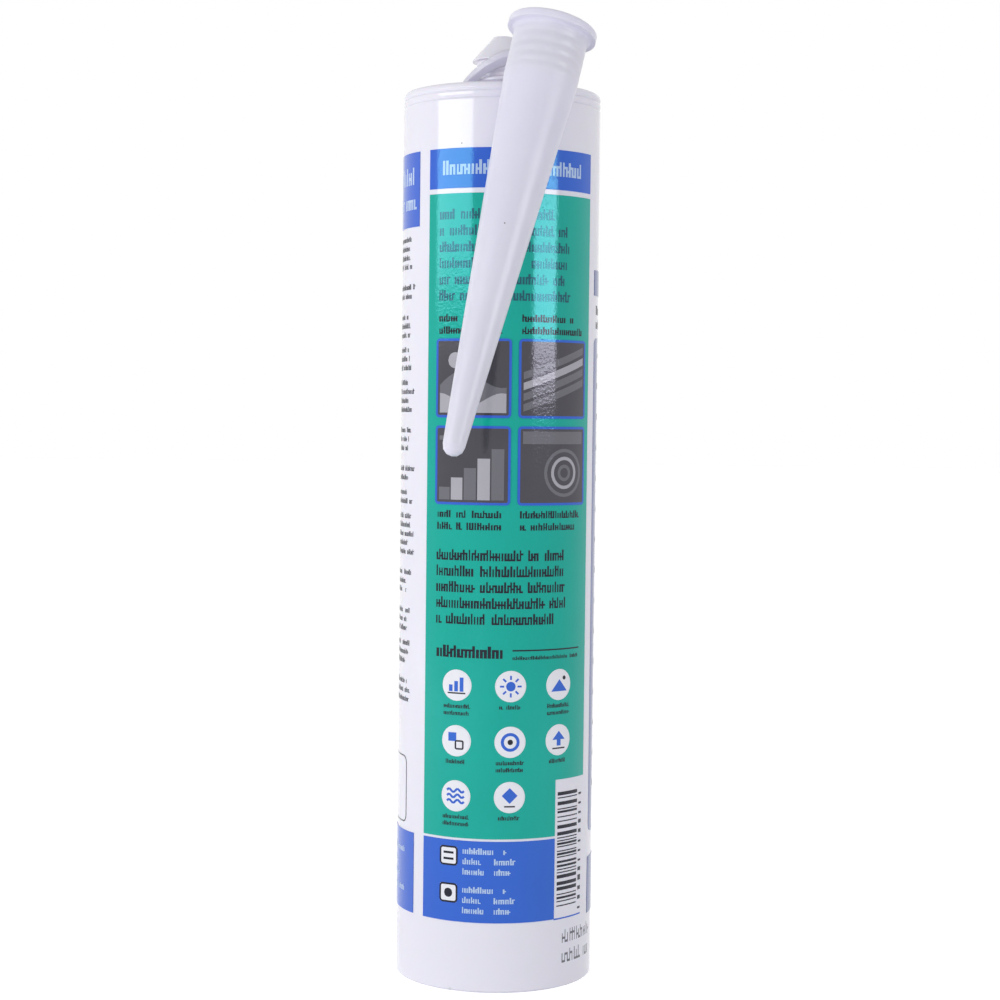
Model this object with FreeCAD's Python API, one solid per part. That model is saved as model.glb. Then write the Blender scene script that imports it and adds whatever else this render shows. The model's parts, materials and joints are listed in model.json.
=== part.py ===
import FreeCAD
import Part
import math
import os
from FreeCAD import Placement, Rotation, Vector

# A filled sealant cartridge that stands on its open end, in millimetres.
# The origin is the centre of the open end, and +Z points up to the neck.
# Angles round the barrel are in degrees from the front, -Y, towards +X.

# Barrel
barrel_length = 218.0
barrel_radius = 24.3
barrel_wall = 1.3
rim_round = 1.2
foot_chamfer = 0.4
mouth_chamfer = 0.5

# Head grooves, measured down from the rim
groove_drops = (1.9, 3.6)
groove_depth = 0.35
groove_half_width = 0.45

# Head and neck
head_recess = 1.0
head_land = 2.4
head_wall = 1.8
thread_pitch = 2.5
thread_crest_radius = 7.5
thread_depth = 1.1
thread_crest_half_width = 0.35
thread_root_half_width = 0.95
thread_start = 2.5
neck_height = 9.5
neck_wall = 1.6
tip_height = 5.8
tip_radius = 2.35
tip_lip = 0.35
neck_root_chamfer = 0.7

# Nick in the open end's outer edge
nick_angle = -25.1
nick_radius = 0.8
nick_depth = 0.45

# Piston
piston_recess = 27.0
piston_height = 20.0
piston_skirt_wall = 1.2
piston_face_wall = 1.4
piston_gap = 0.05
lip_height = 3.0
waist_depth = 0.6
face_chamfer = 1.5
inner_corner = 2.0
rib_count = 4
rib_wall = 1.0
rib_depth = 3.0
hub_radius = 5.0

# Sealant
paste_gap = 0.05
paste_face_gap = 0.3

# Nozzle, measured along its own axis from the mouth
nozzle_length = 105.0
nozzle_wall = 1.1
flange_radius = 10.5
flange_thickness = 2.0
flange_round = 0.6
flange_fillet = 1.2
socket_radius = 8.7
socket_depth = 13.5
spout_end_radius = 2.6
spout_end_wall = 1.6

# Where the nozzle hangs against the rim
hang_angle = 15.6
hang_gap = 0.3
hang_mouth_rise = 12.3
hang_lean_left = 12.6
hang_lean_front = 11.9

# Strap and ring
ring_hole_gap = 1.1
ring_width = 2.1
ring_thickness = 1.2
ring_head_gap = 0.3
ring_bend_radius = 28.6
strap_width = 4.4
strap_thickness = 1.1
strap_bite = 1.2
strap_sections = 6

# Print, measured from the open end up and from the head's rim down
film = 0.12
front_edges = (-45.0, 62.0)
right_edges = (70.8, 183.8)
left_edges = (-167.3, -54.3)
top_band_drop = 15.7
top_band_height = 9.5
left_block_height = 18.0
field_gap = 1.2
foot_band_base = 17.0
foot_band_height = 19.7
foot_field_gap = 0.6
header_drop = 43.3
header_height = 6.2
footer_base = 16.0
footer_height = 14.0

# Front panel
white_block_angle = 36.6
white_block_height = 34.0
tile_columns = ((-37.7, 5.9), (11.3, 56.9))
tile_drops = (61.2, 82.0)
tile_height = 18.3
disc_angles = (-23.0, 8.1, 38.3)
disc_bases = (74.1, 60.7, 47.4)
disc_radius = 3.5

# Flat bands that a round moulded corner is drawn with
round_bands = 3

# Worked out from the sizes above
bore_radius = barrel_radius - barrel_wall
head_top = barrel_length - head_recess
head_inner = head_top - head_wall
neck_root_radius = thread_crest_radius - thread_depth
neck_bore_radius = neck_root_radius - neck_wall
neck_top = head_top + neck_height
tip_top = neck_top + tip_height
piston_face = piston_recess + piston_height
piston_radius = bore_radius - piston_gap
ring_hole = thread_crest_radius + ring_hole_gap
ring_edge = ring_hole + ring_width
ring_base = head_top + ring_head_gap


def turned(outline):
    """Return the solid that a closed outline of (radius, height) pairs makes when it turns about Z."""
    corners = [Vector(radius, 0, height) for radius, height in outline]
    face = Part.Face(Part.makePolygon(corners + corners[:1]))
    return face.revolve(Vector(0, 0, 0), Vector(0, 0, 1), 360)


def round_corner(centre, radius, first_angle, last_angle):
    """Return the points of a round corner, from its first angle to its last."""
    points = []
    for index in range(round_bands + 1):
        turn = math.radians(first_angle + (last_angle - first_angle) * index / round_bands)
        points.append((
            round(centre[0] + radius * math.cos(turn), 6),
            round(centre[1] + radius * math.sin(turn), 6),
        ))
    return points


def around(angle, radius, height):
    """Return the point at an angle from the front."""
    turn = math.radians(angle)
    return Vector(radius * math.sin(turn), -radius * math.cos(turn), height)


def groove(drop):
    """Return a V-shaped ring that cuts one groove below the rim."""
    middle = barrel_length - drop
    outside = barrel_radius + groove_depth
    return turned([
        (barrel_radius - groove_depth, middle),
        (outside, middle - 2 * groove_half_width),
        (outside, middle + 2 * groove_half_width),
    ])


def neck_thread():
    """Return the helical thread, rooted a little inside the neck."""
    base = head_top + thread_start
    height = neck_top - base - thread_pitch / 2
    sunk = neck_root_radius - 0.15 * neck_wall
    helix = Part.makeHelix(thread_pitch, height, neck_root_radius)
    helix.translate(Vector(0, 0, base))
    profile = Part.makePolygon([
        Vector(sunk, 0, base - thread_root_half_width),
        Vector(thread_crest_radius, 0, base - thread_crest_half_width),
        Vector(thread_crest_radius, 0, base + thread_crest_half_width),
        Vector(sunk, 0, base + thread_root_half_width),
        Vector(sunk, 0, base - thread_root_half_width),
    ])
    return Part.Wire(helix).makePipeShell([profile], True, True)


def make_barrel():
    """Return the tube, head, threaded neck and closed tip as one solid."""
    land_edge = barrel_radius - head_land
    rim_centre = (barrel_radius - rim_round, barrel_length - rim_round)
    bore_top = neck_top - neck_wall / 2
    outline = [
        (bore_radius + mouth_chamfer, 0),
        (barrel_radius - foot_chamfer, 0),
        (barrel_radius, foot_chamfer),
        *round_corner(rim_centre, rim_round, 0, 90),
        (land_edge, barrel_length),
        (land_edge - head_recess / 2, head_top),
        (neck_root_radius + neck_root_chamfer, head_top),
        (neck_root_radius, head_top + neck_root_chamfer),
        (neck_root_radius, neck_top - tip_lip),
        (thread_crest_radius, neck_top - tip_lip),
        (thread_crest_radius, neck_top),
        (tip_radius, tip_top),
        (0, tip_top),
        (0, tip_top - neck_wall),
        (tip_radius / 2, tip_top - neck_wall),
        (neck_bore_radius, bore_top),
        (neck_bore_radius, head_inner),
        (bore_radius - head_wall, head_inner),
        (bore_radius, head_inner - head_wall),
        (bore_radius, mouth_chamfer),
    ]
    body = turned(outline)
    for drop in groove_drops:
        body = body.cut(groove(drop))
    body = body.fuse(neck_thread())
    notch = Part.makeSphere(nick_radius, around(nick_angle, barrel_radius + nick_radius - nick_depth, 0))
    return body.cut(notch).removeSplitter()


def make_piston():
    """Return the cup with two sealing lips and a low cross behind its face."""
    waist = piston_radius - waist_depth
    inside = waist - piston_skirt_wall
    rear = piston_recess
    face_back = piston_face - piston_face_wall
    lip_top = piston_face - face_chamfer
    cup = turned([
        (inside, rear),
        (piston_radius, rear),
        (piston_radius, rear + lip_height - waist_depth),
        (waist, rear + lip_height),
        (waist, lip_top - lip_height),
        (piston_radius, lip_top - lip_height + waist_depth),
        (piston_radius, lip_top),
        (piston_radius - face_chamfer, piston_face),
        (0, piston_face),
        (0, face_back),
        (inside - inner_corner, face_back),
        (inside, face_back - inner_corner),
    ])
    rib_base = face_back - rib_depth
    rib_height = rib_depth + piston_face_wall / 2
    stiffeners = [Part.makeCylinder(hub_radius, rib_height, Vector(0, 0, rib_base))]
    for index in range(rib_count):
        rib = Part.makeBox(inside + piston_skirt_wall / 2, rib_wall, rib_height)
        rib.translate(Vector(0, -rib_wall / 2, rib_base))
        rib.rotate(Vector(0, 0, 0), Vector(0, 0, 1), 360 * index / rib_count)
        stiffeners.append(rib)
    return cup.multiFuse(stiffeners).removeSplitter()


def make_sealant():
    """Return the paste between the piston's face and the closed tip."""
    side = bore_radius - paste_gap
    neck_side = neck_bore_radius - paste_gap
    roof = head_inner - paste_gap
    return turned([
        (0, piston_face + paste_face_gap),
        (side, piston_face + paste_face_gap),
        (side, roof - head_wall),
        (side - head_wall, roof),
        (neck_side, roof),
        (neck_side, neck_top - neck_wall),
        (0, neck_top - neck_wall),
    ])


def nozzle_place():
    """Return the placement of the hung nozzle: its mouth's centre and its axis.

    The axis passes the rim's level one socket radius and a gap outside it.
    """
    left = math.radians(hang_lean_left)
    front = math.radians(hang_lean_front)
    mouthward = Vector(
        math.sin(left) * math.cos(front),
        math.sin(front),
        math.cos(left) * math.cos(front),
    )
    crossing = around(hang_angle, barrel_radius + socket_radius + hang_gap, barrel_length)
    mouth = crossing + mouthward * hang_mouth_rise
    return Placement(mouth, Rotation(Vector(0, 0, 1), mouthward)), mouth, mouthward


def make_spout():
    """Return flange, socket and spout with the mouth at the origin, facing +Z."""
    flange_centre = (flange_radius - flange_round, -flange_round)
    under_centre = (socket_radius + flange_fillet, -flange_thickness - flange_fillet)
    end_centre = (0, -nozzle_length + spout_end_radius)
    bore_end_radius = spout_end_radius - nozzle_wall
    return turned([
        (socket_radius - nozzle_wall, 0),
        *round_corner(flange_centre, flange_round, 90, 0),
        (flange_radius, -flange_thickness),
        *round_corner(under_centre, flange_fillet, 90, 180),
        (socket_radius, -socket_depth),
        *round_corner(end_centre, spout_end_radius, 0, -90),
        (0, -nozzle_length + spout_end_wall),
        (bore_end_radius, -nozzle_length + spout_end_wall + bore_end_radius),
        (socket_radius - 2 * nozzle_wall, -socket_depth - nozzle_wall),
        (socket_radius - nozzle_wall, -socket_depth),
    ])


def make_ring(outward, across):
    """Return the ring round the neck, a flat band that bends up towards the nozzle.

    It is round from above, and its sheet is rolled about an axis over its rear edge.
    """
    foot = Vector(0, 0, ring_base)
    band = Part.makeCylinder(ring_edge, 2 * ring_edge, foot)
    band = band.cut(Part.makeCylinder(ring_hole, 2 * ring_edge, foot))
    start = foot - outward * ring_edge - across * ring_edge
    start = start + Vector(0, 0, ring_bend_radius + ring_thickness)
    sheet = Part.makeCylinder(ring_bend_radius + ring_thickness, 2 * ring_edge, start, across)
    sheet = sheet.cut(Part.makeCylinder(ring_bend_radius, 2 * ring_edge, start, across))
    return band.common(sheet)


def strap_section(middle, along, across):
    """Return one rectangle of the strap, square to its run."""
    side = across * (strap_width / 2)
    up = across.cross(along)
    up.normalize()
    up = up * (strap_thickness / 2)
    corners = [middle - side - up, middle + side - up, middle + side + up, middle - side + up]
    corners.append(corners[0])
    return Part.makePolygon(corners)


def make_strap(start, start_along, start_across, end, end_along, end_across):
    """Return the strap, a flat band that bends and twists from ring to flange."""
    reach = (end - start).Length
    sections = []
    for index in range(strap_sections):
        t = index / (strap_sections - 1)
        middle = (
            start * (2 * t**3 - 3 * t**2 + 1)
            + start_along * (reach * (t**3 - 2 * t**2 + t))
            + end * (3 * t**2 - 2 * t**3)
            + end_along * (reach * (t**3 - t**2))
        )
        along = (
            start * (6 * t**2 - 6 * t)
            + start_along * (reach * (3 * t**2 - 4 * t + 1))
            + end * (6 * t - 6 * t**2)
            + end_along * (reach * (3 * t**2 - 2 * t))
        )
        along.normalize()
        across = start_across * (1 - t) + end_across * t
        across = across - along * across.dot(along)
        across.normalize()
        sections.append(strap_section(middle, along, across))
    return Part.makeLoft(sections, True, False)


def make_nozzle():
    """Return the spout, the strap and the ring as the one piece they are."""
    place, mouth, mouthward = nozzle_place()
    spout = make_spout()
    spout.Placement = place
    outward = Vector(mouth.x, mouth.y, 0)
    outward.normalize()
    across = outward.cross(Vector(0, 0, 1))
    ring = make_ring(outward, across)

    bend = ring_bend_radius + ring_thickness / 2
    slope = math.asin((2 * ring_edge - strap_bite) / bend)
    rise = ring_base + ring_thickness / 2 + bend * (1 - math.cos(slope))
    start = outward * (ring_edge - strap_bite) + Vector(0, 0, rise)
    ring_along = outward * math.cos(slope) + Vector(0, 0, math.sin(slope))

    flange_along = outward - mouthward * outward.dot(mouthward)
    flange_along.normalize()
    flange_across = flange_along.cross(mouthward)
    flange_middle = mouth - mouthward * (flange_thickness / 2)
    end = flange_middle - flange_along * (flange_radius - strap_bite)
    strap = make_strap(start, ring_along, across, end, flange_along, flange_across)
    return spout.multiFuse([ring, strap]).removeSplitter()


def patch(edges, base, height, layer=1):
    """Return a curved field between two angles, on the barrel or on the layer below."""
    start, end = edges
    inner = barrel_radius + (layer - 1) * film
    block = Part.makeCylinder(inner + film, height, Vector(0, 0, 0), Vector(0, 0, 1), end - start)
    block = block.cut(Part.makeCylinder(inner, height))
    block.Placement = Placement(Vector(0, 0, base), Rotation(Vector(0, 0, 1), start - 90))
    return block


def disc(angle, middle, radius, layer):
    """Return a round field on the barrel."""
    turn = math.degrees(radius / barrel_radius) + 1
    block = patch((angle - turn, angle + turn), middle - radius, 2 * radius, layer)
    inner = barrel_radius * math.cos(math.radians(turn)) - film
    cutter = Part.makeCylinder(radius, barrel_radius, around(angle, inner, middle), around(angle, 1, 0))
    return block.common(cutter)


def tiles():
    """Return the dark fields of the four tiles."""
    fields = []
    for edges in tile_columns:
        for drop in tile_drops:
            fields.append(patch(edges, barrel_length - drop - tile_height, tile_height, 2))
    return fields


def front_field():
    """Return the large teal field, cut away round the white block."""
    base = foot_band_base + foot_band_height + foot_field_gap
    top = barrel_length - top_band_drop - top_band_height - field_gap
    whole = patch(front_edges, base, top - base)
    block_top = foot_band_base + white_block_height
    block = patch((white_block_angle, front_edges[1] + 1), 0, block_top)
    return whole.cut(block)


def blue_fields():
    """Return the front panel's two bands and the left panel's two blocks."""
    band_base = barrel_length - top_band_drop - top_band_height
    block_base = barrel_length - top_band_drop - left_block_height
    foot_edges = (front_edges[0], white_block_angle)
    return [
        patch(front_edges, band_base, top_band_height),
        patch(foot_edges, foot_band_base, foot_band_height),
        patch(left_edges, block_base, left_block_height),
        patch(left_edges, foot_band_base, foot_band_height),
    ]


def discs():
    """Return the round white fields, all but the one beside the white block."""
    fields = []
    for angle in disc_angles:
        for middle in disc_bases:
            beside = angle > white_block_angle and middle - disc_radius < foot_band_base + white_block_height
            if not beside:
                fields.append(disc(angle, middle, disc_radius, 2))
    return fields


def violet_fields():
    """Return the right panel's header and footer."""
    return [
        patch(right_edges, barrel_length - header_drop - header_height, header_height),
        patch(right_edges, footer_base, footer_height),
    ]


def save(name, shape):
    """Write one node as a STEP file."""
    shape.exportStep(os.path.join("parts", name + ".step"))
    print(name, "solids", len(shape.Solids), "volume", round(shape.Volume, 2), "valid", shape.isValid())


os.makedirs("parts", exist_ok=True)
save("barrel", make_barrel())
save("piston", make_piston())
save("sealant", make_sealant())
save("nozzle", make_nozzle())
save("teal_print", front_field())
save("blue_print", Part.makeCompound(blue_fields()))
save("dark_print", Part.makeCompound(tiles()))
save("white_print", Part.makeCompound(discs()))
save("violet_print", Part.makeCompound(violet_fields()))
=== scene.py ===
# %% [markdown]
# # A sealant cartridge with its spout hung from the neck
#
# The real thing is two mouldings, a piston and some paste. The tall white tube
# is polyethylene, printed straight onto the plastic. The spout is a thinner,
# half-clear moulding whose strap ends in a ring, and the ring is looped over
# the closed tip. This file dresses the solid model with finishes and print.

# %% Load the solid model
import json
import math
import random

import bmesh
import bpy
from mathutils import Matrix, Vector


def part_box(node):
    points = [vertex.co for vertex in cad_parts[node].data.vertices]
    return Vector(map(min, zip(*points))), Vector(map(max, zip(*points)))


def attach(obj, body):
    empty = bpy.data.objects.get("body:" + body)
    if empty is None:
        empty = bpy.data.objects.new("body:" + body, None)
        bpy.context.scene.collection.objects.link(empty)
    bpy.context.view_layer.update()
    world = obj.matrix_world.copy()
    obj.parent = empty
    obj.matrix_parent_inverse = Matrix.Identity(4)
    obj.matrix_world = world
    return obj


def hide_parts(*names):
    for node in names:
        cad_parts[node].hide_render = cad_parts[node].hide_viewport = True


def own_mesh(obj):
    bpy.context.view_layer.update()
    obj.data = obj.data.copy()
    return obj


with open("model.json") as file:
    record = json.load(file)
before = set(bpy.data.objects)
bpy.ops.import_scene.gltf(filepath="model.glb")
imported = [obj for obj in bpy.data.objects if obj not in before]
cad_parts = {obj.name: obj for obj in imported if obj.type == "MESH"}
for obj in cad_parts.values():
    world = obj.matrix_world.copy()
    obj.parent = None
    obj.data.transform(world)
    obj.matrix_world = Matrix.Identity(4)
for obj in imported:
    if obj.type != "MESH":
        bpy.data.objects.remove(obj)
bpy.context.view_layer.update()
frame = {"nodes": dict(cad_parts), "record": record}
print("nodes:", sorted(frame["nodes"]))

# %% [markdown]
# ## Sizes that the rest is built from
#
# Every length is in metres. The tube's radius comes from the teal field's own
# box, because that thin solid lies on the tube, so the print below stays on
# the tube if the model changes. Places on the tube are a distance round it,
# measured from the front, and a height above the floor. That is how a printer
# would lay out the flat artwork.

# %% Read the main sizes
MM = 0.001
INK = 0.12 * MM
TUBE_RADIUS = -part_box("teal_print")[0].y - INK
print("tube radius", round(TUBE_RADIUS / MM, 3), "mm")


def arc(angle):
    """Return the distance round the tube at an angle in degrees from the front."""
    return math.radians(angle) * TUBE_RADIUS


def on_tube(along, height, lift):
    """Return the point at a distance round the tube, a height and a lift off it."""
    turn = along / TUBE_RADIUS
    reach = TUBE_RADIUS + lift
    return Vector((reach * math.sin(turn), -reach * math.cos(turn), height))


# %% [markdown]
# ## Small helpers for node trees
#
# A material is a graph of nodes. Short helpers keep the graphs readable: one
# adds a node and fills its sockets, one does a step of arithmetic, and one
# makes an empty group with named sockets.

# %% Node helpers
def add_node(tree, kind, inputs=None, **settings):
    """Add a node, set its options, then fill or link its inputs."""
    node = tree.nodes.new(kind)
    for name, value in settings.items():
        setattr(node, name, value)
    for key, value in (inputs or {}).items():
        if isinstance(value, bpy.types.NodeSocket):
            tree.links.new(value, node.inputs[key])
        else:
            node.inputs[key].default_value = value
    return node


def math_step(tree, operation, first, second=0.0):
    """Return the result socket of one Math node."""
    return add_node(tree, "ShaderNodeMath", {0: first, 1: second}, operation=operation).outputs[0]


def new_group(name, inputs, outputs):
    """Return an empty shader group with float inputs and float outputs."""
    tree = bpy.data.node_groups.new(name, "ShaderNodeTree")
    for label, value in inputs.items():
        socket = tree.interface.new_socket(label, in_out="INPUT", socket_type="NodeSocketFloat")
        socket.default_value = value
    for label in outputs:
        tree.interface.new_socket(label, in_out="OUTPUT", socket_type="NodeSocketFloat")
    return tree, tree.nodes.new("NodeGroupInput"), tree.nodes.new("NodeGroupOutput")


def use_group(tree, group, values=None):
    """Place a group in a material and set its inputs by name."""
    node = tree.nodes.new("ShaderNodeGroup")
    node.node_tree = group
    for label, value in (values or {}).items():
        node.inputs[label].default_value = value
    return node


def new_material(name, color, roughness, **sockets):
    """Return a material, its tree and its Principled shader."""
    material = bpy.data.materials.new(name)
    material.use_nodes = True
    tree = material.node_tree
    shader = tree.nodes["Principled BSDF"]
    shader.inputs["Base Color"].default_value = (*color, 1.0)
    shader.inputs["Roughness"].default_value = roughness
    for label, value in sockets.items():
        shader.inputs[label.replace("_", " ")].default_value = value
    return material, tree, shader


def dress(piece, material):
    """Give a piece or a solid one material."""
    piece.data.materials.clear()
    piece.data.materials.append(material)


# %% [markdown]
# ## The skin of moulded plastic
#
# Polyethylene is never quite flat. Close to, its surface has a fine orange
# peel, and after a while on a shelf it has faint hairline scuffs. The tube,
# the inks and the spout all have both, so they are one node group. It puts
# out a bump height, a scuff mask and a slow cloudiness, and each material
# scales them for itself.

# %% Build the skin group
def build_skin_group():
    """Return the group that puts out peel height, scuff mask and cloudiness."""
    scales = {"Peel Scale": 700.0, "Scuff Scale": 60.0, "Cloud Scale": 35.0}
    tree, source, sink = new_group("Plastic skin", scales, ("Height", "Scuffs", "Cloud"))
    place = add_node(tree, "ShaderNodeTexCoord").outputs["Object"]
    peel = add_node(
        tree, "ShaderNodeTexNoise",
        {"Vector": place, "Scale": source.outputs["Peel Scale"], "Detail": 2.0, "Roughness": 0.5},
    )
    stretched = add_node(
        tree, "ShaderNodeMapping",
        {"Vector": place, "Rotation": (0.5, 0.3, 0.2), "Scale": (1.0, 1.0, 0.06)},
    )
    scratch = add_node(
        tree, "ShaderNodeTexNoise",
        {"Vector": stretched.outputs[0], "Scale": source.outputs["Scuff Scale"], "Detail": 6.0, "Roughness": 0.7},
    )
    thin = add_node(
        tree, "ShaderNodeMapRange", {"Value": scratch.outputs[0], "From Min": 0.66, "From Max": 0.74}
    )
    cloud = add_node(
        tree, "ShaderNodeTexNoise", {"Vector": place, "Scale": source.outputs["Cloud Scale"], "Detail": 2.0}
    )
    tree.links.new(peel.outputs[0], sink.inputs["Height"])
    tree.links.new(thin.outputs[0], sink.inputs["Scuffs"])
    tree.links.new(cloud.outputs[0], sink.inputs["Cloud"])
    return tree


skin_group = build_skin_group()
print("skin group nodes:", len(skin_group.nodes))


# %% [markdown]
# ## White tube plastic
#
# The tube's white has a trace of lavender, and a shine that shows each lamp as
# a clean band. Light goes a little way into the plastic, so a small amount of
# subsurface scattering keeps its edges from looking like paint. The tube and
# the spout each have one small dark speck of dirt. A speck is a distance from a
# place, so it stays where it is from every side.

# %% Make the tube's plastic
def build_speck_group():
    """Return the group that masks a small round spot at a place in the object's frame."""
    spot = {"X": 0.0, "Y": 0.0, "Z": 0.0, "Radius": 0.3 * MM}
    tree, source, sink = new_group("Speck of dirt", spot, ("Mask",))
    place = add_node(tree, "ShaderNodeTexCoord").outputs["Object"]
    x, y, z = (source.outputs[name] for name in "XYZ")
    centre = add_node(tree, "ShaderNodeCombineXYZ", {0: x, 1: y, 2: z})
    away = add_node(
        tree, "ShaderNodeVectorMath", {0: place, 1: centre.outputs[0]}, operation="DISTANCE"
    )
    radius = source.outputs["Radius"]
    faded = math_step(tree, "DIVIDE", away.outputs["Value"], radius)
    mask = add_node(tree, "ShaderNodeMapRange", {"Value": faded, "From Min": 1.0, "From Max": 0.6})
    tree.links.new(mask.outputs[0], sink.inputs["Mask"])
    return tree


speck_group = build_speck_group()
SPECK_COLOR = (0.2, 0.18, 0.2)


def with_speck(tree, color, place, radius):
    """Return a colour with one dark speck on it."""
    spot = {"X": place[0], "Y": place[1], "Z": place[2], "Radius": radius}
    mask = use_group(tree, speck_group, spot).outputs["Mask"]
    mix = add_node(tree, "ShaderNodeMix", {"Factor": mask, 6: color}, data_type="RGBA")
    mix.inputs[7].default_value = (*SPECK_COLOR, 1.0)
    return mix.outputs[2]


def tint_by(tree, mask, low, high):
    """Return a colour that runs from low to high as a mask goes from 0 to 1."""
    mix = add_node(tree, "ShaderNodeMix", {"Factor": mask}, data_type="RGBA")
    mix.inputs[6].default_value = (*low, 1.0)
    mix.inputs[7].default_value = (*high, 1.0)
    return mix.outputs[2]


def rough_by(tree, mask, low, high):
    """Return a roughness that runs from low to high with a mask."""
    return add_node(tree, "ShaderNodeMapRange", {"Value": mask, "To Min": low, "To Max": high}).outputs[0]


def peel_bump(tree, shader, height, strength, depth, soft_edge=0.0):
    """Feed a height, over edges that look slightly rounded, into the shader's normal."""
    bump = add_node(tree, "ShaderNodeBump", {"Height": height, "Strength": strength, "Distance": depth})
    if soft_edge:
        edge = add_node(tree, "ShaderNodeBevel", {"Radius": soft_edge}, samples=6)
        tree.links.new(edge.outputs[0], bump.inputs["Normal"])
    tree.links.new(bump.outputs[0], shader.inputs["Normal"])


SOFT_EDGE = 0.35 * MM
TUBE_SPECK = on_tube(arc(-23.4), 203.4 * MM, 0.0)
SPOUT_SPECK = (0.6 * MM, -46.0 * MM, 182.4 * MM)


def make_tube_plastic():
    """Return the white polyethylene of the tube."""
    material, tree, shader = new_material(
        "white polyethylene", (0.80, 0.785, 0.87), 0.13,
        Subsurface_Weight=0.1, Subsurface_Scale=0.0015, Specular_IOR_Level=0.55, IOR=1.52,
    )
    skin = use_group(tree, skin_group, {"Peel Scale": 160.0, "Scuff Scale": 55.0, "Cloud Scale": 22.0})
    color = tint_by(tree, skin.outputs["Cloud"], (0.785, 0.765, 0.85), (0.825, 0.81, 0.895))
    color = with_speck(tree, color, TUBE_SPECK, 0.2 * MM)
    tree.links.new(color, shader.inputs["Base Color"])
    tree.links.new(rough_by(tree, skin.outputs["Scuffs"], 0.11, 0.26), shader.inputs["Roughness"])
    peel_bump(tree, shader, skin.outputs["Height"], 0.1, 0.0002, SOFT_EDGE)
    return material


tube_plastic = make_tube_plastic()
dress(frame["nodes"]["barrel"], tube_plastic)
print("tube plastic nodes:", len(tube_plastic.node_tree.nodes))


# %% [markdown]
# ## Ink
#
# The print is cured ink on the plastic. Its surface is rougher close to than
# the tube's, so a lamp's band over the print has a speckled edge. The clear
# resin of the ink also takes the red out of what it mirrors, so a white lamp
# looks aqua over the teal and sky blue over the blue. Specular Tint does that,
# and leaves the wash at grazing angles white. Grey inks mirror a lamp nearly as
# it is, and black ink mirrors less of it. One function makes every ink.

# %% Make the inks
COOL_SHINE = (0.25, 0.85, 1.0, 1.0)
NEUTRAL_SHINE = (0.74, 0.72, 0.86, 1.0)
DEEP_SHINE = (0.35, 0.35, 0.45, 1.0)
WHITE_SHINE = (1.0, 1.0, 1.0, 1.0)


def make_ink(name, color, share=0.86, shine=COOL_SHINE):
    """Return a glossy ink with a speckled shine and slightly uneven cover."""
    material, tree, shader = new_material(name, color, 0.16, IOR=1.64, Specular_Tint=shine)
    skin = use_group(tree, skin_group, {"Peel Scale": 1500.0, "Scuff Scale": 70.0, "Cloud Scale": 60.0})
    thin_cover = tuple(channel * share for channel in color)
    tree.links.new(tint_by(tree, skin.outputs["Cloud"], thin_cover, color), shader.inputs["Base Color"])
    tree.links.new(rough_by(tree, skin.outputs["Scuffs"], 0.1, 0.22), shader.inputs["Roughness"])
    peel_bump(tree, shader, skin.outputs["Height"], 0.24, 0.0001)
    return material


FIELD_INKS = {
    "teal_print": make_ink("teal ink", (0.006, 0.41, 0.31)),
    "blue_print": make_ink("blue ink", (0.042, 0.105, 0.65)),
    "dark_print": make_ink("tile ink", (0.066, 0.062, 0.07), 0.5, NEUTRAL_SHINE),
    "white_print": make_ink("white ink", (0.84, 0.84, 0.90), 0.94, WHITE_SHINE),
    "violet_print": make_ink("violet ink", (0.13, 0.11, 0.34)),
}
for node_name, ink in FIELD_INKS.items():
    dress(frame["nodes"][node_name], ink)
blue_ink = FIELD_INKS["blue_print"]
white_ink = FIELD_INKS["white_print"]
black_ink = make_ink("black ink", (0.012, 0.013, 0.02), 0.86, DEEP_SHINE)
slate_ink = make_ink("slate ink", (0.02, 0.075, 0.11))
mid_grey_ink = make_ink("mid grey ink", (0.15, 0.148, 0.165), 0.86, NEUTRAL_SHINE)
light_grey_ink = make_ink("light grey ink", (0.43, 0.42, 0.46), 0.86, NEUTRAL_SHINE)
pale_ink = make_ink("pale blue ink", (0.52, 0.62, 0.86))
print("inks:", len(FIELD_INKS) + 5)


# %% [markdown]
# ## Half-clear spout plastic
#
# The spout is natural polyethylene: milky, a shade darker and more lavender
# than the tube, and light soaks into its thin wall. Real transmission would
# be slow and noisy, so subsurface scattering over a few wall thicknesses gives
# that look. Where the thread inside the socket makes the wall thicker, the
# moulding sinks a little as it cools, so the socket has faint rings outside.
# They are a second group, a helical wave measured from the spout's mouth.

# %% Build the sink mark group
socket = next(m for m in frame["record"]["mounts"] if m["name"] == "nozzle_socket")
MOUTHWARD = Vector(socket["axis"])
MOUTH = Vector(socket["pos_m"]) + MOUTHWARD * 1.0 * MM
THREAD_PITCH = 2.5 * MM
SOCKET_DEPTH = socket["dims"]["length_mm"] * MM
SOCKET_BORE = socket["dims"]["r_mm"] * MM
spout_turn = MOUTHWARD.to_track_quat("Z", "Y")


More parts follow.
